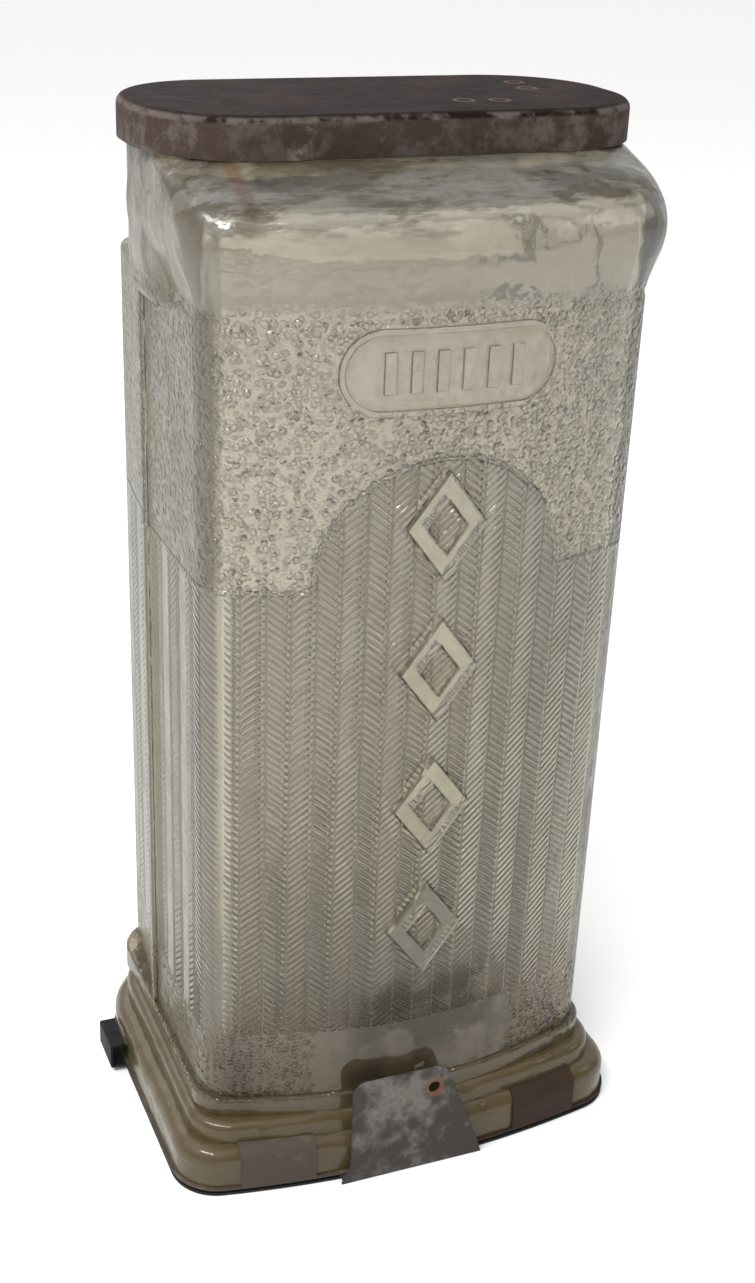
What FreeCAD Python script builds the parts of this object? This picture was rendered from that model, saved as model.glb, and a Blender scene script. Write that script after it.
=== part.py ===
"""Wall letter box: a pressed-glass body, a hinged sheet-steel lid and a drop-down bottom door.

+X is to the viewer's right, -Y is the bowed front, +Y the wall side, +Z up. The origin is on
the underside of the bottom door, in the middle of the body. All sizes are in millimetres.
"""
import math
import os

import FreeCAD
import Part

V = FreeCAD.Vector
os.makedirs("parts", exist_ok=True)

# ---- driving dimensions -------------------------------------------------------------------
HALF_W = 65.0          # glass body, half width at the mould rib
HALF_W_BACK = 60.2     # half width at the back, behind the draft of the rear half
FRONT_Y = -56.5        # apex of the bowed front
BACK_Y = 56.5          # flat back
RIB_Y = 10.5           # mould rib on the middle of each side
BOW_R = 162.0          # radius of the bowed front
CORNER_R = 11.0        # front corners
WALL = 5.0             # glass wall
SHEET = 0.8            # steel sheet

GLASS_Z0 = 2.7         # underside of the glass foot
BODY_Z0 = 27.0         # where the body leaves the foot
LEDGE_Z = 272.0        # top of the rear half
RIM_Z = 313.0          # top of the glass neck
PLAQUE_Z = 258.2       # middle of the raised oval plaque

FOOT_HALF, FOOT_FRONT, FOOT_BACK, FOOT_BOW = 74.8, -62.5, 57.5, 330.0
LIP_TOP, LIP_FILLET = 15.7, 5.0
RIDGE_TOP, RIDGE_FILLET = 22.5, 3.0
FOOT_R, FOOT_R_BACK = 15.0, 32.0       # the foot's back corners are swept well in

LID_HALF, LID_FRONT, LID_BACK, LID_R = 71.2, -31.5, 37.0, 30.0
LID_Z0, LID_Z1, LID_ROUND = 307.6, 318.4, 2.6
COLLAR_GAP, COLLAR_T = 1.2, 0.6
NECK_IN = SHEET + COLLAR_GAP + COLLAR_T      # lid outside to neck outside

LID_AXIS_Y, LID_AXIS_Z = 39.6, 309.5
KNUCKLE_R = 2.2
LID_PIN_R, LID_BORE_R = 1.2, 1.25
DOOR_AXIS_Y, DOOR_AXIS_Z = 60.0, 2.2
DOOR_PIN_R, DOOR_BORE_R = 1.4, 1.45
WALL_Y = 62.2          # plane of the wall behind the box
HANG_X, HANG_Z, HANG_R = 25.0, 293.0, 2.4

CLIP_X, CLIP_Y0, CLIP_Y1, CLIP_TOP = 81.0, 12.0, 27.0, 11.0      # side clips on the frame

FRAME_Z0 = 1.9         # underside of the base frame; the door is a sheet below it


# ---- helpers ------------------------------------------------------------------------------
def edge_line(a, b):
    return Part.makeLine(V(*a), V(*b))


def plan_wire(z, half, front, back, half_back, knee, bow):
    """Outline with a bowed front, straight sides up to the knee and tapered sides behind it."""
    corner = front + bow - math.sqrt(bow * bow - half * half)
    arc = Part.Arc(V(-half, corner, z), V(0, front, z), V(half, corner, z)).toShape()
    edges = [arc, edge_line((half, corner, z), (half, knee, z))]
    if abs(back - knee) > 1e-6:
        edges.append(edge_line((half, knee, z), (half_back, back, z)))
    edges.append(edge_line((half_back, back, z), (-half_back, back, z)))
    if abs(back - knee) > 1e-6:
        edges.append(edge_line((-half_back, back, z), (-half, knee, z)))
    edges.append(edge_line((-half, knee, z), (-half, corner, z)))
    return Part.Wire(edges), corner


def prism(z0, z1, half, front, back, bow, r_front, r_back, half_back=None, knee=None):
    """Upright solid on that outline, with its four corners rounded."""
    half_back = half if half_back is None else half_back
    knee = back if knee is None else knee
    wire, corner = plan_wire(z0, half, front, back, half_back, knee, bow)
    solid = Part.Face(wire).extrude(V(0, 0, z1 - z0))
    for (cx, cy, r) in ((half, corner, r_front), (half_back, back, r_back)):
        if r <= 0:
            continue
        picked = [e for e in solid.Edges if upright(e, cx, cy)]
        solid = solid.makeFillet(r, picked)
    return solid


def upright(edge, cx, cy):
    a, b = edge.Vertexes[0].Point, edge.Vertexes[-1].Point
    same = abs(a.x - b.x) < 1e-6 and abs(a.y - b.y) < 1e-6
    return same and abs(abs(a.x) - cx) < 1e-3 and abs(a.y - cy) < 1e-3


def round_rim(solid, z, r):
    """Round every edge that lies in the level z."""
    picked = [e for e in solid.Edges
              if all(abs(v.Point.z - z) < 1e-6 for v in e.Vertexes)
              and abs(e.BoundBox.ZMax - e.BoundBox.ZMin) < 1e-6]
    return solid.makeFillet(r, picked)


def box(x0, x1, y0, y1, z0, z1):
    return Part.makeBox(x1 - x0, y1 - y0, z1 - z0, V(x0, y0, z0))


def rod_x(x0, x1, y, z, r):
    return Part.makeCylinder(r, x1 - x0, V(x0, y, z), V(1, 0, 0))


def rod_y(y0, y1, x, z, r):
    return Part.makeCylinder(r, y1 - y0, V(x, y0, z), V(0, 1, 0))


def rod_z(z0, z1, x, y, r):
    return Part.makeCylinder(r, z1 - z0, V(x, y, z0), V(0, 0, 1))


def stadium(z0, z1, inset):
    """Lid outline moved in by inset: a long flat-sided oval."""
    half, front, back = LID_HALF - inset, LID_FRONT + inset, LID_BACK - inset
    solid = box(-half, half, front, back, z0, z1)
    picked = [e for e in solid.Edges if upright(e, half, front) or upright(e, half, back)]
    return solid.makeFillet(LID_R - inset, picked)


def union(shapes):
    out = shapes[0]
    for s in shapes[1:]:
        out = out.fuse(s)
    return out.removeSplitter()


def compound(shapes):
    return Part.makeCompound(shapes)


def save(shape, node):
    for s in shape.Solids:
        if not s.isValid():
            print("INVALID SOLID in", node)
    print(f"{node:20s} solids {len(shape.Solids)}  volume {shape.Volume / 1000:8.2f} cm3")
    shape.exportStep(f"parts/{node}.step")


# ---- glass body ---------------------------------------------------------------------------
def section(z, out, slide):
    """Shoulder section: the front half moved outwards by out, its front drawn back by slide."""
    half, front = HALF_W + out, FRONT_Y - out + slide
    r = CORNER_R + out + 0.55 * slide
    back = RIB_Y + out * 0.3
    bow = BOW_R + 5 * slide
    corner = front + bow - math.sqrt(bow * bow - (half - r) ** 2)
    a = math.asin((half - r) / bow)
    mid = V((half - r) + r * math.sin(math.radians(52)),
            corner + r - r * math.cos(math.radians(52)), z)
    start = V(half - r, corner, z)
    end = V(half, corner + r, z)
    left = [V(-p.x, p.y, z) for p in (start, mid, end)]
    edges = [Part.Arc(left[0], V(0, front, z), start).toShape(),
             Part.Arc(start, mid, end).toShape(),
             Part.makeLine(end, V(half, back, z)),
             Part.makeLine(V(half, back, z), V(-half, back, z)),
             Part.makeLine(V(-half, back, z), left[2]),
             Part.Arc(left[2], left[1], left[0]).toShape()]
    return Part.Wire(edges)


def shoulder():
    """Pillow-like bulge of the front half below the neck."""
    rows = ((273.0, -0.4, 0.0), (278.0, 0.9, 0.0), (284.0, 2.9, 0.0), (290.0, 3.7, 0.5),
            (296.0, 3.4, 3.2), (301.0, 3.0, 9.5), (305.0, 2.8, 19.0), (307.4, 2.6, 28.0))
    return Part.makeLoft([section(z, out, slide) for z, out, slide in rows], True, False)


def front_skin(cutter, lift, depth=1.2):
    """The part of cutter between the front surface raised by lift and a little below it."""
    outer = Part.makeCylinder(BOW_R + lift, 400, V(0, FRONT_Y + BOW_R, -20))
    inner = Part.makeCylinder(BOW_R - depth, 400, V(0, FRONT_Y + BOW_R, -20))
    return cutter.common(outer.cut(inner))


def oval_prism(half_len, half_high, z):
    flat = half_len - half_high
    body = box(-flat, flat, -80, -30, z - half_high, z + half_high)
    return union([body, rod_y(-80, -30, -flat, z, half_high), rod_y(-80, -30, flat, z, half_high)])


def lozenge(cx, cz, half_w, half_h):
    pts = [V(cx - half_w, -80, cz), V(cx, -80, cz - half_h), V(cx + half_w, -80, cz),
           V(cx, -80, cz + half_h), V(cx - half_w, -80, cz)]
    return Part.Face(Part.makePolygon(pts)).extrude(V(0, 50, 0))


def foot_ridge(extra):
    s = prism(GLASS_Z0 + 3, RIDGE_TOP + extra, FOOT_HALF - 5.2 + extra, FOOT_FRONT + 3.2 - extra,
              FOOT_BACK - 1, FOOT_BOW - 60, FOOT_R - 1, FOOT_R_BACK - 4)
    return round_rim(s, RIDGE_TOP + extra, RIDGE_FILLET)


def glass_body():
    outer = prism(BODY_Z0 - 6, LEDGE_Z, HALF_W, FRONT_Y, BACK_Y, BOW_R, CORNER_R, 8,
                  HALF_W_BACK, RIB_Y)
    outer = round_rim(outer, LEDGE_Z, 2.5)
    outer = outer.fuse(prism(BODY_Z0 - 6, 280.0, HALF_W - 0.3, FRONT_Y + 0.3, RIB_Y - 1, BOW_R,
                             CORNER_R, 0))
    neck = round_rim(stadium(LEDGE_Z - 6, RIM_Z, NECK_IN), LEDGE_Z - 6, 5.0)
    ribs = [box(s * (HALF_W + 0.2) - 1.2, s * (HALF_W + 0.2) + 1.2, RIB_Y - 1.8, RIB_Y + 1.8,
                BODY_Z0 - 4, LEDGE_Z + 4) for s in (-1, 1)]
    ribs = [r.makeFillet(1.0, [e for e in r.Edges if abs(e.tangentAt(e.FirstParameter).z) > 0.9])
            for r in ribs]
    lip = prism(GLASS_Z0, LIP_TOP, FOOT_HALF, FOOT_FRONT, FOOT_BACK, FOOT_BOW, FOOT_R,
                FOOT_R_BACK)
    lip = round_rim(lip, LIP_TOP, LIP_FILLET)
    ridge = foot_ridge(0.0)
    root = prism(BODY_Z0 - 6, BODY_Z0 + 1.5, HALF_W + 2.0, FRONT_Y - 1.0, BACK_Y, BOW_R + 20, 12, 16)
    root = round_rim(root, BODY_Z0 + 1.5, 0.9)
    solid = union([outer, shoulder(), neck, lip, ridge, root] + ribs)

    rim = oval_prism(31.5, 11.6, PLAQUE_Z).cut(oval_prism(29.9, 10.0, PLAQUE_Z))
    solid = solid.fuse(front_skin(rim, 1.2))
    bars = [box(x - 1.6, x + 1.6, -80, -30, PLAQUE_Z - 5.5, PLAQUE_Z + 5.5)
            for x in (-18, -10.8, -3.6, 3.6, 10.8, 18)]
    for bar in bars:
        solid = solid.fuse(front_skin(bar, 1.0))
    for cz in (215.0, 172.0, 128.0, 86.0):
        solid = solid.fuse(front_skin(lozenge(0, cz, 11.5, 15.5).cut(lozenge(0, cz, 6.0, 8.1)), 1.5))

    hollow = prism(-1, LEDGE_Z - 5, HALF_W - WALL, FRONT_Y + WALL, BACK_Y - WALL, BOW_R - WALL,
                   CORNER_R - 4, 4, HALF_W_BACK - WALL, RIB_Y)
    front_room = prism(200, 296.0, HALF_W - WALL, FRONT_Y + WALL, RIB_Y, BOW_R - WALL,
                       CORNER_R - 4, 0)
    front_room = round_rim(front_room, 296.0, 5.0)
    mouth = stadium(255, RIM_Z + 5, NECK_IN + WALL)
    solid = solid.cut(hollow).cut(front_room).cut(mouth).removeSplitter()
    return solid


# ---- base: frame, drop-down door, hinge and latch tongue --------------------------------------
def foot_skin(extra, z0):
    s = prism(z0, LIP_TOP + extra, FOOT_HALF + extra, FOOT_FRONT - extra, FOOT_BACK + extra,
              FOOT_BOW + extra, FOOT_R + extra, FOOT_R_BACK + extra)
    return round_rim(s, LIP_TOP + extra, LIP_FILLET + extra)


def knuckle(x0, x1, y, z, leaf, bore):
    solid = rod_x(x0, x1, y, z, KNUCKLE_R).fuse(leaf)
    return solid.cut(rod_x(x0 - 1, x1 + 1, y, z, bore))


def base_frame():
    shell = foot_skin(SHEET + 0.05, FRAME_Z0).cut(foot_skin(0.05, GLASS_Z0))
    opening = prism(-2, 8, HALF_W - WALL - 1, FRONT_Y + WALL + 1, BACK_Y - WALL - 1, BOW_R - WALL,
                    6, 4, HALF_W_BACK - WALL - 1, RIB_Y)
    plate = shell.common(box(-90, 90, -80, 80, FRAME_Z0, FRAME_Z0 + SHEET)).cut(opening)
    plate = plate.cut(box(-12.4, 12.4, 57.2, 80, 0, 5)).cut(box(-26, 26, 57.7, 80, 0, 5))
    parts = [plate]
    for s in (-1, 1):
        x0, x1 = sorted((s * 34.0, s * 57.5))
        tab = shell.common(box(x0, x1, -80, -40, FRAME_Z0, 30)).cut(foot_ridge(0.15))
        parts.append(tab)
        # side clip: stands clear of the foot, then folds back to it
        a, b = sorted((s * CLIP_X, s * (FOOT_HALF - 1)))
        foot = box(a, b, CLIP_Y0, CLIP_Y1, FRAME_Z0, FRAME_Z0 + SHEET)
        a, b = sorted((s * CLIP_X, s * (CLIP_X - SHEET)))
        wall = box(a, b, CLIP_Y0, CLIP_Y1, FRAME_Z0, CLIP_TOP)
        a, b = sorted((s * CLIP_X, s * (FOOT_HALF + 0.3)))
        top = box(a, b, CLIP_Y0, CLIP_Y1, CLIP_TOP - SHEET, CLIP_TOP)
        clip = union([foot, wall, top])
        outer = [e for e in clip.Edges
                 if abs(abs(e.Vertexes[0].Point.x) - CLIP_X) < 1e-6
                 and abs(abs(e.Vertexes[-1].Point.x) - CLIP_X) < 1e-6
                 and abs(e.Length - (CLIP_Y1 - CLIP_Y0)) < 1e-6]
        parts.append(clip.makeFillet(0.75, outer))
        x0, x1 = sorted((s * 12.3, s * 24.0))
        leaf = box(x0, x1, 50, DOOR_AXIS_Y, FRAME_Z0, FRAME_Z0 + SHEET)
        parts.append(knuckle(x0, x1, DOOR_AXIS_Y, DOOR_AXIS_Z, leaf, DOOR_BORE_R))
    return union(parts)


def bottom_door():
    plate = prism(0, SHEET, FOOT_HALF + 0.6, FOOT_FRONT - 0.6, FOOT_BACK, FOOT_BOW, FOOT_R,
                  FOOT_R_BACK)
    pads = [box(s * 18.2 - 6.4, s * 18.2 + 6.4, 56.0, 60, -1, 2) for s in (-1, 1)]
    for pad in pads:
        plate = plate.cut(pad)
    leaf = box(-12, 12, 50, DOOR_AXIS_Y, 0, SHEET)
    hinge = knuckle(-12, 12, DOOR_AXIS_Y, DOOR_AXIS_Z, leaf, DOOR_BORE_R)
    plate = plate.cut(compound([rod_z(-1, 2, x, -43.0, 1.6) for x in TONGUE_RIVETS]))
    return union([plate, hinge])


TONGUE_RIVETS = (-14.0, 10.0)
TONGUE_TOP_Y, TONGUE_TOP_Z = -60.6, 35.0


def latch_tongue():
    """Bent spring tongue: a flange on the door, then up in front of the foot."""
    pts = [(-36, SHEET), (-63.95, SHEET), (-63.95, 0.0), (-64.75, 0.0), (-64.75, 9.1),
           (TONGUE_TOP_Y - 0.82, TONGUE_TOP_Z), (TONGUE_TOP_Y, TONGUE_TOP_Z),
           (-63.95, 9.0), (-63.95, 2 * SHEET), (-36, 2 * SHEET)]
    wire = Part.makePolygon([V(-30, y, z) for y, z in pts + pts[:1]])
    strip = Part.Face(wire).extrude(V(60, 0, 0))
    shape = [(-27, -1), (21.5, -1), (20.2, 3.5), (19.0, 7.0), (8.6, TONGUE_TOP_Z),
             (-22.5, TONGUE_TOP_Z), (-23.8, 6.0), (-25.2, 3.0)]
    mask = Part.Face(Part.makePolygon([V(x, -80, z) for x, z in shape + shape[:1]]))
    mask = mask.extrude(V(0, 60, 0))
    tops = [e for e in mask.Edges if abs(e.Length - 60) < 1e-6
            and abs(e.Vertexes[0].Point.z - TONGUE_TOP_Z) < 1e-6]
    mask = mask.makeFillet(4.5, tops)
    flat = strip.common(mask)
    flat = flat.cut(rod_y(-70, -50, 4.6, 28.2, 2.0))
    return flat.cut(compound([rod_z(-1, 3, x, -43.0, 1.6) for x in TONGUE_RIVETS]))


def tongue_rivets():
    out = []
    for x in TONGUE_RIVETS:
        head = rod_z(2 * SHEET, 2 * SHEET + 0.8, x, -43.0, 3.0)
        out.append(rod_z(0, 2 * SHEET, x, -43.0, 1.6).fuse(head).removeSplitter())
    return compound(out)


def door_pin():
    pin = rod_x(-25.0, 25.0, DOOR_AXIS_Y, DOOR_AXIS_Z, DOOR_PIN_R)
    ends = [rod_x(-25.0, -24.1, DOOR_AXIS_Y, DOOR_AXIS_Z, 1.95),
            rod_x(24.1, 25.0, DOOR_AXIS_Y, DOOR_AXIS_Z, 1.95)]
    return union([pin] + ends)


# ---- neck collar, lid and lid hinge -----------------------------------------------------------
def rim_collar():
    z0, z1 = 308.5, RIM_Z
    ring = stadium(z0, z1, NECK_IN - COLLAR_T).cut(stadium(z0 - 1, z1 + 1, NECK_IN))
    back = LID_BACK - NECK_IN + COLLAR_T / 2
    mid_z = LID_AXIS_Z
    leaf = box(-7.7, 7.7, back, LID_AXIS_Y, mid_z - SHEET / 2, mid_z + SHEET / 2)
    parts = [ring, knuckle(-7.7, 7.7, LID_AXIS_Y, LID_AXIS_Z, leaf, LID_BORE_R)]
    for s in (-1, 1):
        x0, x1 = s * HANG_X - 6, s * HANG_X + 6
        arm = box(x0, x1, back, WALL_Y, mid_z - SHEET / 2, mid_z + SHEET / 2)
        ear = box(x0, x1, WALL_Y - SHEET, WALL_Y, HANG_Z - 8, mid_z + SHEET / 2)
        ear = ear.makeFillet(4.0, [e for e in ear.Edges
                                   if abs(e.Vertexes[0].Point.z - (HANG_Z - 8)) < 1e-6
                                   and abs(e.Vertexes[-1].Point.z - (HANG_Z - 8)) < 1e-6
                                   and abs(e.Length - SHEET) < 1e-6])
        parts.append(arm.fuse(ear).cut(rod_y(50, 70, s * HANG_X, HANG_Z, HANG_R)))
    return union(parts)


STRAP_RIVETS = (-12.6, 12.6)


def lid_shell():
    cap = round_rim(stadium(LID_Z0, LID_Z1, 0), LID_Z1, LID_ROUND)
    hollow = round_rim(stadium(LID_Z0 - 5, LID_Z1 - SHEET, SHEET), LID_Z1 - SHEET,
                       LID_ROUND - SHEET)
    cap = cap.cut(hollow)
    cap = cap.cut(box(-8.4, 8.4, 30, 45, 300, 312.2))
    for s in (-1, 1):
        cap = cap.cut(box(s * HANG_X - 7, s * HANG_X + 7, 30, 45, 300, 311.6))
    return cap.cut(compound([rod_y(30, 45, x, 313.9, 1.2) for x in STRAP_RIVETS]))


def hinge_strap():
    plate = box(-17, 17, LID_BACK, LID_BACK + SHEET, LID_AXIS_Z, 315.7)
    plate = plate.cut(box(-8.4, 8.4, 30, 45, 300, 312.2))
    parts = [plate]
    for s in (-1, 1):
        x0, x1 = sorted((s * 8.0, s * 17.0))
        tube = rod_x(x0, x1, LID_AXIS_Y, LID_AXIS_Z, KNUCKLE_R)
        web = box(x0, x1, LID_BACK, LID_AXIS_Y - 1.3, LID_AXIS_Z - 0.6, LID_AXIS_Z + 1.6)
        parts.append(tube.fuse(web).cut(rod_x(x0 - 1, x1 + 1, LID_AXIS_Y, LID_AXIS_Z, LID_BORE_R)))
    solid = union(parts)
    return solid.cut(compound([rod_y(30, 45, x, 313.9, 1.2) for x in STRAP_RIVETS]))


def strap_rivets():
    out = []
    for x in STRAP_RIVETS:
        shank = rod_y(LID_BACK - SHEET, LID_BACK + SHEET, x, 313.9, 1.2)
        outside = rod_y(LID_BACK + SHEET, LID_BACK + SHEET + 0.7, x, 313.9, 1.75)
        inside = rod_y(LID_BACK - SHEET - 0.5, LID_BACK - SHEET, x, 313.9, 1.75)
        out.append(union([shank, outside, inside]))
    return compound(out)


def lid_pin():
    pin = rod_x(-18.0, 18.0, LID_AXIS_Y, LID_AXIS_Z, LID_PIN_R)
    ends = [rod_x(-18.0, -17.2, LID_AXIS_Y, LID_AXIS_Z, 1.8),
            rod_x(17.2, 18.0, LID_AXIS_Y, LID_AXIS_Z, 1.8)]
    return union([pin] + ends)


for name, maker in (("glass_body", glass_body), ("base_frame", base_frame),
                    ("bottom_door", bottom_door), ("latch_tongue", latch_tongue),
                    ("tongue_rivets", tongue_rivets), ("door_hinge_pin", door_pin),
                    ("rim_collar", rim_collar), ("lid_shell", lid_shell),
                    ("lid_hinge_strap", hinge_strap), ("strap_rivets", strap_rivets),
                    ("lid_hinge_pin", lid_pin)):
    save(maker(), name)
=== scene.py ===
# %% [markdown]
# # A pressed-glass wall letter box
#
# The box is a tall glass body with a bowed front, a sheet-steel lid on a rear hinge and a steel
# door under the foot. The solid pieces come from the CAD model and are never moved here. This
# lesson gives each of them its surface: moulded relief in the glass, and aged steel elsewhere.

# %% Load the frame
import math

import bpy
from mathutils import Matrix, Vector

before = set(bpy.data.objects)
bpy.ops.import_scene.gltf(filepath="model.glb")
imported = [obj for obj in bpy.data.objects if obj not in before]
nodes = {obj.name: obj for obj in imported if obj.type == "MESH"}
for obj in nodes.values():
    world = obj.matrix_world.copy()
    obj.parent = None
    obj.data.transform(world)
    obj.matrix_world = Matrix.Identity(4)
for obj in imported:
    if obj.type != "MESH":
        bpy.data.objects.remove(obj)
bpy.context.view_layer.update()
print("pieces:", sorted(nodes))

# %% [markdown]
# ## Shader maths in plain words
#
# A material is a sum of small rules about where a point lies. The nodes could be placed one by
# one, but a long rule is then hard to read. This class lets each rule be written as
# arithmetic: `a + b`, `a * b` and so on add the math nodes. `add_node` makes any other node.

# %% A helper for any node, and a small class for arithmetic
def put(tree, socket, value):
    """Give a socket a link, when value comes from a node, or a plain value."""
    if isinstance(value, Sock):
        tree.links.new(value.socket, socket)
    elif isinstance(value, bpy.types.NodeSocket):
        tree.links.new(value, socket)
    else:
        socket.default_value = value


def add_node(tree, kind, settings=None, **inputs):
    """Any node: settings are its own properties, inputs go to its sockets by name."""
    n = tree.nodes.new(kind)
    for key, value in (settings or {}).items():
        setattr(n, key, value)
    for key, value in inputs.items():
        put(tree, n.inputs[key.replace("_", " ")], value)
    return n


class Sock:
    """A number coming out of a node, that can be added, multiplied and compared."""

    def __init__(self, mat, socket):
        self.mat, self.socket = mat, socket

    def _op(self, kind, other=None, swap=False):
        tree = self.mat.node_tree
        n = add_node(tree, "ShaderNodeMath", {"operation": kind})
        args = [self, other] if not swap else [other, self]
        for i, a in enumerate(args):
            if a is not None:
                put(tree, n.inputs[i], a)
        return Sock(self.mat, n.outputs[0])

    def __add__(self, o): return self._op("ADD", o)
    def __radd__(self, o): return self._op("ADD", o)
    def __sub__(self, o): return self._op("SUBTRACT", o)
    def __rsub__(self, o): return self._op("SUBTRACT", o, swap=True)
    def __mul__(self, o): return self._op("MULTIPLY", o)
    def __rmul__(self, o): return self._op("MULTIPLY", o)
    def __truediv__(self, o): return self._op("DIVIDE", o)
    def __pow__(self, o): return self._op("POWER", o)
    def abs(self): return self._op("ABSOLUTE")
    def sin(self): return self._op("SINE")
    def sqrt(self): return self._op("SQRT")
    def fract(self): return self._op("FRACT")
    def min(self, o): return self._op("MINIMUM", o)
    def max(self, o): return self._op("MAXIMUM", o)

    def ramp(self, low, high):
        """0 below low, 1 above high, and a smooth slope between. low may be above high."""
        flip = low > high
        n = add_node(self.mat.node_tree, "ShaderNodeMapRange",
                     {"interpolation_type": "SMOOTHSTEP"}, Value=self,
                     From_Min=min(low, high), From_Max=max(low, high),
                     To_Min=1.0 if flip else 0.0, To_Max=0.0 if flip else 1.0)
        return Sock(self.mat, n.outputs[0])


class Surface:
    """A new material with a Principled shader, and methods that feed it."""

    def __init__(self, name, **constants):
        self.mat = bpy.data.materials.new(name)
        self.mat.use_nodes = True
        self.tree = self.mat.node_tree
        self.shader = next(n for n in self.tree.nodes if n.type == "BSDF_PRINCIPLED")
        for label, value in constants.items():
            self.shader.inputs[label.replace("_", " ")].default_value = value
        self.place = self.node("ShaderNodeTexCoord").outputs["Object"]
        parts = self.node("ShaderNodeSeparateXYZ", Vector=self.place)
        self.x, self.y, self.z = (Sock(self.mat, o) for o in parts.outputs)
        self.height = None

    def node(self, kind, settings=None, **inputs):
        """Any node in this material."""
        return add_node(self.tree, kind, settings, **inputs)

    def put(self, socket, value):
        put(self.tree, socket, value)

    def noise(self, size, detail=4.0, rough=0.55, stretch=(1, 1, 1), seed=0.0):
        """Cloudy value about 0 to 1, with blobs of that size in metres."""
        m = self.node("ShaderNodeMapping", Vector=self.place, Scale=stretch,
                      Location=(seed, seed * 0.7, seed * 1.3))
        n = self.node("ShaderNodeTexNoise", Vector=m.outputs[0], Scale=1.0 / size,
                      Detail=detail, Roughness=rough)
        return Sock(self.mat, n.outputs[0])

    def cells(self, size, jitter=1.0):
        """Distance to the nearest of many scattered points, about 0 to 1."""
        n = self.node("ShaderNodeTexVoronoi", Vector=self.place, Scale=1.0 / size,
                      Randomness=jitter)
        return Sock(self.mat, n.outputs["Distance"])

    def facing(self):
        """The surface's own direction, as three numbers."""
        g = self.node("ShaderNodeNewGeometry")
        parts = self.node("ShaderNodeSeparateXYZ", Vector=g.outputs["Normal"])
        return [Sock(self.mat, o) for o in parts.outputs]

    def mix(self, amount, a, b):
        n = self.node("ShaderNodeMix", {"data_type": "RGBA"})
        self.put(n.inputs[0], amount)
        for socket, value in ((n.inputs[6], a), (n.inputs[7], b)):
            self.put(socket, value if isinstance(value, bpy.types.NodeSocket) else (*value, 1.0))
        return n.outputs[2]

    def bump(self, height, depth):
        """Raise the surface by height (0 to 1) times depth in metres."""
        n = self.node("ShaderNodeBump", Height=height, Distance=depth, Strength=1.0)
        if self.height is not None:
            self.tree.links.new(self.height, n.inputs["Normal"])
        self.height = n.outputs[0]
        self.put(self.shader.inputs["Normal"], self.height)


def wear(piece, surface):
    """Dress a CAD piece in a material."""
    ob = nodes[piece]
    ob.data.materials.clear()
    ob.data.materials.append(surface.mat)


print("ready to write materials")

# %% [markdown]
# ## The glass and its moulded relief
#
# The mould cut two textures. Pebbling covers the upper third and two patches at the bottom.
# Herringbone fills the rest and rises into a round arch in the middle of the front. All
# measures below are in metres on the glass itself, so the relief follows the real faces.

# %% The glass, and where its relief lies
TOP_EDGE, LOW_EDGE = 0.198, 0.052       # where herringbone meets pebbling
ARCH_R = 0.036                          # half width and radius of the arch
FIELD = 0.057                           # half width of the front's moulded field
BAND = 0.0066                           # width of one half of a chevron
PITCH = 0.00225                         # rise from one rib to the next
SHOULDER = 0.277                        # smooth glass above this
GLASS_TINT = 45.0                       # how strongly a metre of glass soaks up light
COLUMN_PITCH = 0.0175                   # from one rib column to the next on the sides
LOZENGES = (0.215, 0.172, 0.128, 0.086)           # heights of the four lozenge middles
LOZENGE_W, LOZENGE_H = 0.0115, 0.0155   # half width and half height of a lozenge
OVAL_Z, OVAL_R, OVAL_REACH = 0.2582, 0.0118, 0.0199         # the smooth oval up on the front
FOOT_SEAM = 0.0292                      # height of the seam where the foot begins

glass = Surface("pressed_glass", Roughness=0.07, IOR=1.5, Transmission_Weight=0.86)
x, y, z = glass.x, glass.y, glass.z
nx, ny, nz = glass.facing()

outside = (nx * x + ny * y).ramp(0.0, 0.004)          # inner walls stay smooth
on_side = nx.abs().ramp(0.62, 0.72)
on_front = ny.ramp(-0.55, -0.65) * outside
on_back = ny.ramp(0.6, 0.7)


def soft_step(a, b, width=0.0006):
    """1 where a is above b."""
    return (a - b).ramp(-width, width)


from_arch = (x * x + (z - TOP_EDGE) * (z - TOP_EDGE)).sqrt() - ARCH_R     # 0 on the arch line
in_arch = soft_step(0.0 - from_arch, 0.0)
above_low = soft_step(z, LOW_EDGE)
between = soft_step(TOP_EDGE - z, 0.0) * above_low
front_field = in_arch.max(between) * above_low * soft_step(FIELD - x.abs(), 0.0)
print("front field set out, arch top at", round(TOP_EDGE + ARCH_R, 4))

# %% [markdown]
# ### Herringbone
#
# The ribs could be cut as real grooves, but there are hundreds of them, only half a millimetre
# deep. A triangle wave across the face tells each rib how far to climb. Adding it to the height
# and taking a sine gives ribs that turn at the edge of every band.

# %% Ribs, side columns and lozenges
def herringbone(across):
    fold = ((across / (2 * BAND)).fract() * 2.0 - 1.0).abs()      # 0 to 1 and back
    climb = z + fold * (BAND * 0.82)
    rib = (climb * (2 * math.pi / PITCH)).sin() * 0.5 + 0.5
    valley = (fold.ramp(0.0, 0.09)) * (fold.ramp(1.0, 0.91))
    return rib * 0.8 * valley + valley * 0.2


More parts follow.
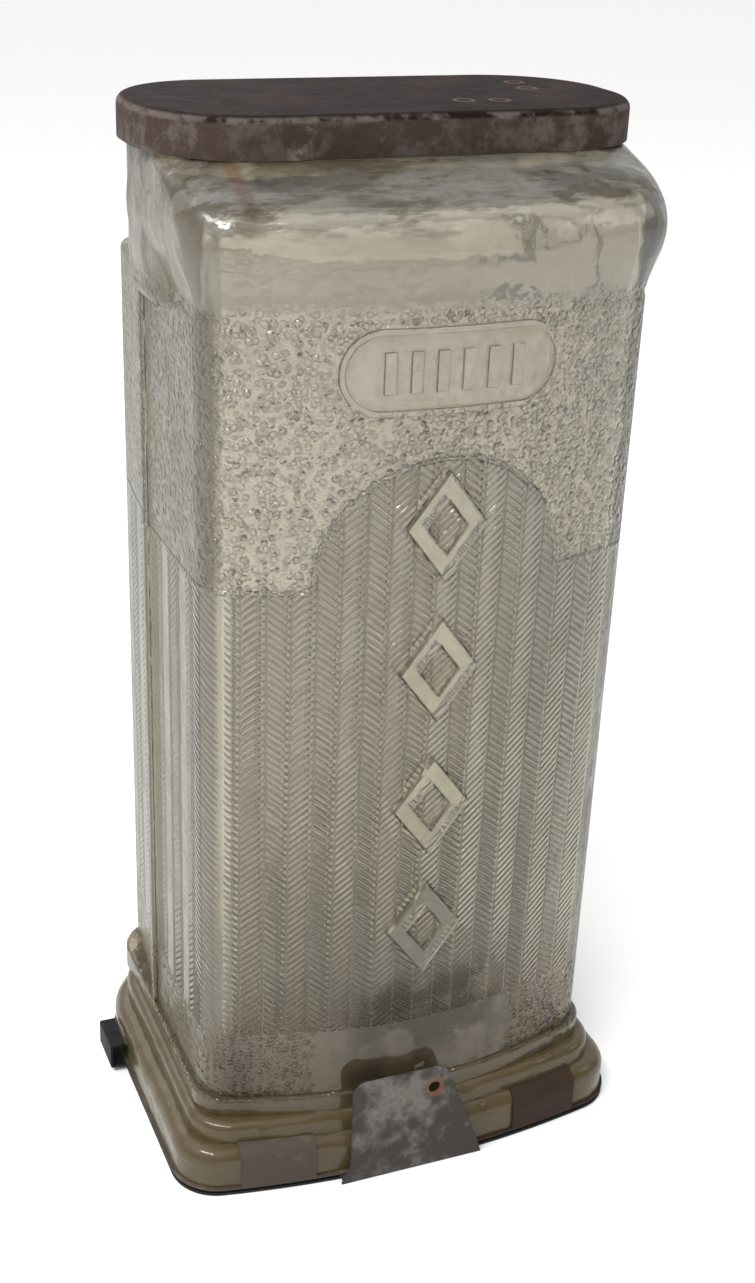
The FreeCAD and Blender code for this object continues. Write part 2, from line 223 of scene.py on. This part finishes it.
front_ribs = herringbone(x + 10 * BAND + 0.0022)
columns = (((y + 0.2) / COLUMN_PITCH).fract() - 0.5).abs().ramp(0.34, 0.30)
side_field = between * columns * y.abs().ramp(0.046, 0.045)
side_ribs = herringbone(y + 10 * BAND)
ornament = outline = None                # the four raised open lozenges stay smooth
for middle in LOZENGES:
    away = x.abs() / LOZENGE_W + (z - middle).abs() / LOZENGE_H
    ring = away.ramp(1.06, 1.0) * away.ramp(0.47, 0.53)
    line = (away - 1.04).abs().min((away - 0.50).abs()).ramp(0.07, 0.01)
    ornament = ring if ornament is None else ornament.max(ring)
    outline = line if outline is None else outline.max(line)
front_field = front_field * (1.0 - ornament)
ribs = front_ribs * front_field * on_front + side_ribs * side_field * on_side * outside
glass.bump(ribs, 0.00065)
print("rib pitch in mm:", PITCH * 1000)

# %% [markdown]
# ### Pebbling
#
# Scattered domes two and a half millimetres apart, with smaller ones between them. Modelled
# bubbles would need thousands of pieces, and a bump catches the light in the same way.

# %% Bubbles, edge lines and the waves of old glass
nearest = glass.cells(0.0025, 0.75)
dome = nearest.ramp(0.50, 0.10)
rims = (nearest - 0.39).abs().ramp(0.13, 0.03)      # painted shade: a dark line round each bubble
small = glass.cells(0.0015, 1.0).ramp(0.6, 0.1)
plain_panel = x.abs().ramp(0.0330, 0.0320) * z.ramp(LOW_EDGE + 0.001, LOW_EDGE) * on_front
oval = (((x.abs() - OVAL_REACH).max(0.0) * (x.abs() - OVAL_REACH).max(0.0)
         + (z - OVAL_Z) * (z - OVAL_Z)).sqrt()).ramp(OVAL_R, OVAL_R - 0.0006) * on_front
low_field = z.ramp(0.0275, 0.0285)
pebbled = (1.0 - in_arch * on_front) * (1.0 - between) * (1.0 - plain_panel) * (1.0 - oval) \
    * z.ramp(SHOULDER, SHOULDER - 0.006) * low_field * outside * (1.0 - on_back)
glass.bump((dome * 0.75 + small * 0.35) * pebbled, 0.00065)
edge_line = (z - TOP_EDGE).abs().ramp(0.0011, 0.0003) * (1.0 - in_arch * on_front) \
    * outside * (1.0 - on_back)
ring = from_arch.abs().ramp(0.0009, 0.0002) * z.ramp(TOP_EDGE - 0.001, TOP_EDGE) * on_front
glass.bump(edge_line.max(ring), 0.0006)
glass.bump(glass.noise(0.022, 3.0, 0.5, seed=4.0), 0.0018)
glass.bump(glass.noise(0.0045, 3.0, 0.6, seed=9.0), 0.00012)
print("pebbling and edge lines added")

# %% [markdown]
# ### Colour in the glass
#
# Old glass of this kind is a warm grey that turns olive where it is thick and amber in the
# Dust, dirt and a rust run under the lid sit on top of it, along with painted shade on the side walls and
# in the hollows of the relief, and painted shade and dark reflections under the lid.

# %% Tones, dust film and tint
warm_grey = (0.735, 0.705, 0.610)
lilac = (0.700, 0.672, 0.610)
amber = (0.42, 0.31, 0.15)
smoke = (0.34, 0.29, 0.23)
cloud = glass.noise(0.05, 4.0, 0.6, seed=2.0)
streaks = glass.noise(0.010, 4.0, 0.6, stretch=(1, 1, 0.25), seed=6.0)
tone = glass.mix(z.ramp(0.10, 0.24), warm_grey, lilac)
# painted shade in the hollows of the relief: the valleys between the ribs and the line round each bubble
grooves = pebbled * rims * 0.7 + front_field * on_front * (1.0 - front_ribs) ** 1.6 \
    + side_field * on_side * outside * (1.0 - side_ribs) ** 1.6
# painted shade: the side walls are darker than the front, more so on their pebbling
tone = glass.mix(on_side * outside * (0.35 + pebbled * 0.25), tone, smoke)
# darker towards the back
tone = glass.mix(y.ramp(0.006, 0.020) * outside * 0.55, tone, smoke)
# painted shade in the grooves
tone = glass.mix(grooves * 0.36, tone, (0.20, 0.165, 0.115))
chips = glass.noise(0.0035, 4.0, 0.7, seed=41.0).ramp(0.40, 0.62)
tone = glass.mix(ornament * on_front * outside * (0.10 + chips * 0.20), tone, smoke)
tone = glass.mix(oval * outside * chips * 0.30, tone, smoke)
tone = glass.mix(outline * on_front * outside * chips * 0.80, tone, (0.12, 0.09, 0.055))
# painted shade and painted dark reflections on the glass just under the lid: the glass darkens up into the
# lid, with dark patches below it
under_lid_painted_shade = glass.noise(0.012, 5.0, 0.65, stretch=(0.3, 1, 1.4), seed=3.0)
tone = glass.mix(z.ramp(0.298, 0.308) * 0.6, tone, smoke)
tone = glass.mix(z.ramp(0.295, 0.302) * under_lid_painted_shade.ramp(0.50, 0.60) * 0.85, tone, (0.10, 0.085, 0.04))
tone = glass.mix(z.ramp(0.075, 0.030) * 0.9, tone, amber)
tone = glass.mix(streaks.ramp(0.50, 0.68) * z.ramp(0.060, 0.045) * 0.6, tone, (0.13, 0.095, 0.065))
tone = glass.mix(cloud.ramp(0.48, 0.75) * 0.35, tone, (0.45, 0.41, 0.33))
smudge = glass.noise(0.016, 5.0, 0.65, seed=15.0).ramp(0.44, 0.58) * (x - 0.004).abs().ramp(0.034, 0.016) \
    * (z - 0.052).abs().ramp(0.022, 0.008)
tone = glass.mix(smudge * 0.75, tone, (0.10, 0.08, 0.06))
rust_run = (x + 0.053).abs().ramp(0.0030, 0.0008) * z.ramp(0.294, 0.303)
grime = glass.noise(0.006, 5.0, 0.65, seed=7.0).ramp(0.52, 0.7) * z.ramp(0.300, 0.307)
tone = glass.mix((rust_run * 0.8).max(grime * 0.5), tone, (0.30, 0.15, 0.07))
glass.put(glass.shader.inputs["Base Color"], tone)
glass.put(glass.shader.inputs["Roughness"], 0.05 + cloud.ramp(0.4, 0.8) * 0.08 + pebbled * 0.05
          + z.ramp(0.300, 0.307) * 0.25)

# an opaque coat, thinly mixed in, holds a film of old dust on the foot, dirt in the foot seam, in a smudge
# and round the lozenges, painted shade on both side walls and in the relief's grooves, and painted dark
# reflections on the ledge under the lid. Glass seen at a glancing angle is seen through its length, so it
# darkens
film = glass.node("ShaderNodeBsdfPrincipled", Roughness=0.32, Specular_IOR_Level=0.25,
                  Normal=glass.height)
glancing = Sock(glass.mat, glass.node("ShaderNodeLayerWeight", Blend=0.5).outputs["Facing"])
edge_film = glancing.ramp(0.62, 0.86) * outside * 0.85
film_tone = glass.mix(z.ramp(0.032, 0.024), (0.110, 0.097, 0.072), (0.085, 0.058, 0.022))
film_tone = glass.mix(edge_film, film_tone, (0.075, 0.070, 0.030))
# painted dark reflections and shade, in patches on the ledge just under the lid
shade_spots_on_ledge = glass.noise(0.010, 5.0, 0.65, stretch=(0.4, 1, 1.3), seed=31.0).ramp(0.47, 0.61)
ledge_painted_shade = shade_spots_on_ledge * z.ramp(0.287, 0.300) * outside * 0.78
seam = (z - FOOT_SEAM).abs().ramp(0.0032, 0.0006) * on_front.max(on_side) * outside
seam_dirt = seam * glass.noise(0.008, 4.0, 0.65, seed=51.0).ramp(0.42, 0.58) * 0.70
# dark patches: dirt in the foot seam, in the smudge and round the lozenges, with the painted shade on the
# ledge
dirt_and_painted_shade = ledge_painted_shade.max(seam_dirt).max(smudge * on_front * 0.60) \
    .max(outline * on_front * outside * chips * 0.60)
film_tone = glass.mix(dirt_and_painted_shade * 1.3, film_tone, (0.040, 0.031, 0.014))
glass.put(film.inputs["Base Color"], film_tone)
# painted shade: the opaque coat darkens the side walls, more on the pebbling and towards the back
side_wall_painted_shade = on_side * outside * (0.34 + pebbled * 0.18 + y.ramp(0.006, 0.016) * 0.14)
foot_film = z.ramp(0.030, 0.020) * 0.52
coated = glass.node("ShaderNodeMixShader")
# the same painted shade in the grooves, also carried by the opaque coat
groove_painted_shade = grooves * outside * 0.33
glass.put(coated.inputs[0], side_wall_painted_shade.max(foot_film).max(edge_film).max(dirt_and_painted_shade).max(groove_painted_shade))
glass.put(coated.inputs[1], glass.shader.outputs[0])
glass.put(coated.inputs[2], film.outputs[0])
final = next(n for n in glass.tree.nodes if n.type == "OUTPUT_MATERIAL")
glass.put(final.inputs["Surface"], coated.outputs[0])

# the glass itself is faintly olive, so a wall looked at along its length turns dark, from any side
tint = glass.node("ShaderNodeVolumeAbsorption", Color=(0.60, 0.575, 0.38, 1.0), Density=GLASS_TINT)
glass.put(final.inputs["Volume"], tint.outputs[0])
wear("glass_body", glass)
print("glass dressed")

# %% [markdown]
# ## Aged sheet steel
#
# One recipe serves every steel piece: a dark base, paler patches where the surface has been
# rubbed, rust that gathers in blotches, and pits that catch the light.

# %% Steel recipe and the lid
def aged_steel(name, dark, pale, rust, patchy=0.5, rusty=0.3, metallic=0.55, seed=0.0, gloss=0.18):
    s = Surface(name, Metallic=metallic, Specular_IOR_Level=gloss)
    big, mid = s.noise(0.028, 5.0, 0.62, seed=seed), s.noise(0.007, 5.0, 0.65, seed=seed + 3)
    fine = s.noise(0.0012, 4.0, 0.7, seed=seed + 5)
    patch = (big * 0.6 + mid * 0.4).ramp(0.60 - 0.14 * patchy, 0.72 - 0.10 * patchy)
    rust_at = (mid * 0.55 + big * 0.45).ramp(0.62 - 0.2 * rusty, 0.70 - 0.1 * rusty)
    col = s.mix(patch * (0.35 + fine * 0.65), dark, pale)
    col = s.mix(rust_at * (0.4 + fine * 0.6), col, rust)
    s.colour = col
    s.put(s.shader.inputs["Base Color"], col)
    s.put(s.shader.inputs["Roughness"], 0.50 + mid * 0.30 + rust_at * 0.12)
    s.bump(mid, 0.0005)
    s.bump(fine, 0.00012)
    return s


lid = aged_steel("lid_steel", (0.009, 0.005, 0.004), (0.040, 0.028, 0.025), (0.034, 0.015, 0.010),
                 patchy=0.7, rusty=0.5, metallic=0.0, seed=1.0, gloss=0.05)
LID_EDGE = 0.3172                       # height where the lid's top turns down into its skirt
skirt = lid.z.ramp(LID_EDGE, 0.3160)
scuffed = (lid.noise(0.011, 5.0, 0.7, seed=12.0)).ramp(0.46, 0.62)
left_end = lid.x.ramp(-0.030, -0.066) * skirt
right_end = lid.x.ramp(0.018, 0.034) * lid.x.ramp(0.070, 0.055) * skirt
streak = (lid.x + 0.0345).abs().ramp(0.006, 0.001) * skirt
pale = (left_end * 0.38).max(right_end * 0.45).max(streak * 0.9).max(skirt * 0.28) * scuffed
col = lid.mix(skirt * 0.55, lid.colour, (0.085, 0.060, 0.048))
col = lid.mix(pale, col, (0.17, 0.145, 0.135))
edge_wear = (lid.z - LID_EDGE).abs().ramp(0.0011, 0.0003) \
    * lid.noise(0.009, 4.0, 0.6, seed=5.0).ramp(0.42, 0.58)
col = lid.mix(edge_wear * 0.55, col, (0.16, 0.13, 0.115))
for cx, cy in ((0.0186, -0.0121), (0.0286, -0.0135), (0.0484, 0.0185), (0.0467, 0.0067)):
    away = ((lid.x - cx) * (lid.x - cx) + (lid.y - cy) * (lid.y - cy)).sqrt()
    col = lid.mix((away - 0.0026).abs().ramp(0.0008, 0.0001) * 0.7, col, (0.14, 0.085, 0.065))
lid.put(lid.shader.inputs["Base Color"], col)
for piece in ("lid_shell", "lid_hinge_strap", "strap_rivets"):
    wear(piece, lid)
print("lid dressed")

# %% [markdown]
# ## Tongue, base frame, door and hinges
#
# The tongue hangs in the middle of the front, the base frame runs round the foot, and the door
# closes the bottom. They could share one steel, but each has aged in its own way: the tongue is
# rubbed pale and creased, the frame has rusted on one side, and the door is nearly black.

# %% Tongue, base frame, door and wire
tongue = aged_steel("galvanised_steel", (0.050, 0.045, 0.040), (0.22, 0.21, 0.19), (0.08, 0.045, 0.027),
                    patchy=0.9, rusty=0.2, metallic=0.2, seed=6.0)
hole = (((tongue.x - 0.0046) * (tongue.x - 0.0046) + (tongue.z - 0.0282) * (tongue.z - 0.0282)).sqrt())
col = tongue.mix(hole.ramp(0.0042, 0.0022) * 0.9, tongue.colour, (0.16, 0.075, 0.04))
tongue.put(tongue.shader.inputs["Base Color"], col)
creases = tongue.noise(0.013, 2.0, 0.4, stretch=(1, 1, 0.5), seed=21.0)
tongue.bump(creases, 0.0022)
for piece in ("latch_tongue", "tongue_rivets"):
    wear(piece, tongue)

base = aged_steel("base_steel", (0.070, 0.055, 0.044), (0.24, 0.21, 0.18), (0.060, 0.030, 0.017),
                  patchy=0.7, rusty=0.5, metallic=0.2, seed=8.0)
rusty_side = base.x.ramp(0.0, 0.02) * base.noise(0.01, 4.0, 0.6, seed=3.0).ramp(0.20, 0.42)
col = base.mix(rusty_side * 0.92, base.colour, (0.032, 0.018, 0.012))
col = base.mix(base.x.abs().ramp(0.0750, 0.0762), col, (0.012, 0.011, 0.011))
base.put(base.shader.inputs["Base Color"], col)
wear("base_frame", base)

black = aged_steel("blackened_steel", (0.018, 0.017, 0.017), (0.07, 0.066, 0.062), (0.06, 0.03, 0.02),
                   patchy=0.3, rusty=0.3, metallic=0.1, seed=10.0)
for piece in ("bottom_door", "rim_collar"):
    wear(piece, black)

wire = aged_steel("hinge_wire", (0.07, 0.06, 0.055), (0.25, 0.23, 0.21), (0.12, 0.06, 0.035),
                  patchy=0.6, rusty=0.5, metallic=0.6, seed=14.0)
for piece in ("door_hinge_pin", "lid_hinge_pin"):
    wear(piece, wire)
print("base, latch and hinges dressed")

# %% [markdown]
# ## Studio
#
# A pale floor and a room that is bright behind the box and dimmer in front of it. A wide soft
# light stands at the upper left, a weaker one at the right and another behind, and a broad sun
# overhead fills the floor. The dim side of the room gives the relief its dark lines.

# %% Floor, room and lights
def plain(name, colour, rough):
    s = Surface(name, Roughness=rough)
    speck = s.noise(0.02, 3.0, 0.5)
    s.put(s.shader.inputs["Base Color"], s.mix(speck.ramp(0.3, 0.7), colour,
                                               tuple(c * 0.985 for c in colour)))
    return s.mat


bpy.ops.mesh.primitive_plane_add(size=30, location=(0, 0, -0.0002))
floor = bpy.context.object
floor.name = "studio_floor"
floor.data.materials.append(plain("floor_paper", (0.93, 0.93, 0.925), 0.8))

world = bpy.data.worlds.new("studio_room")
bpy.context.scene.world = world
world.use_nodes = True
room = world.node_tree
facing = add_node(room, "ShaderNodeTexCoord").outputs["Generated"]
axes = add_node(room, "ShaderNodeSeparateXYZ", Vector=facing)
fade = add_node(room, "ShaderNodeMapRange", {"interpolation_type": "SMOOTHSTEP"},
                Value=axes.outputs["Y"], From_Min=-0.45, From_Max=0.35, To_Min=0.22, To_Max=1.0)
put(room, room.nodes["Background"].inputs["Strength"], fade.outputs[0])
put(room, room.nodes["Background"].inputs["Color"], (1.0, 1.0, 1.0, 1.0))
bpy.context.scene.view_settings.view_transform = "Standard"


def soft_light(name, at, towards, size, watts, colour=(1, 1, 1)):
    data = bpy.data.lights.new(name, "AREA")
    data.shape, data.size, data.size_y = "RECTANGLE", size[0], size[1]
    data.energy, data.color = watts, colour
    ob = bpy.data.objects.new(name, data)
    ob.location = at
    ob.rotation_euler = (Vector(towards) - Vector(at)).to_track_quat("-Z", "Y").to_euler()
    bpy.context.scene.collection.objects.link(ob)


soft_light("key", (-0.7, -0.5, 1.3), (0, 0, 0.2), (1.0, 0.22), 20.0)
soft_light("fill", (1.2, -0.5, 0.9), (0, 0, 0.15), (0.5, 0.5), 1.5)
sky = bpy.data.objects.new("sky", bpy.data.lights.new("sky", "SUN"))
sky.data.energy, sky.data.angle = 1.1, math.radians(90)
sky.rotation_euler = (math.radians(12), math.radians(-14), 0)
bpy.context.scene.collection.objects.link(sky)
soft_light("behind", (-0.2, 1.1, 0.9), (0, 0, 0.15), (1.0, 0.6), 3.0)
print("studio lit")

# %% [markdown]
# ## Camera
#
# It stands a little to the left of the front and looks down. The three directions below are its
# own axes, written out because a target alone would leave out its slight roll.

# %% Camera
right = Vector((0.92976709, -0.36659263, 0.03380822))
up = Vector((0.13307943, 0.42029828, 0.89757408))
ahead = Vector((0.34325358, 0.83003566, -0.43956544))
turn = Matrix((right, up, -ahead)).transposed().to_4x4()
camera = bpy.data.objects.new("camera", bpy.data.cameras.new("camera"))
bpy.context.scene.collection.objects.link(camera)
camera.matrix_world = Matrix.Translation((-0.19079, -0.46081, 0.38687)) @ turn
camera.data.sensor_fit = "HORIZONTAL"
camera.data.sensor_width = 36.0
camera.data.lens = 84.37
camera.data.shift_x = 0.0232
camera.data.shift_y = 0.0484
camera.data.clip_start = 0.01
bpy.context.scene.camera = camera
print("camera placed")
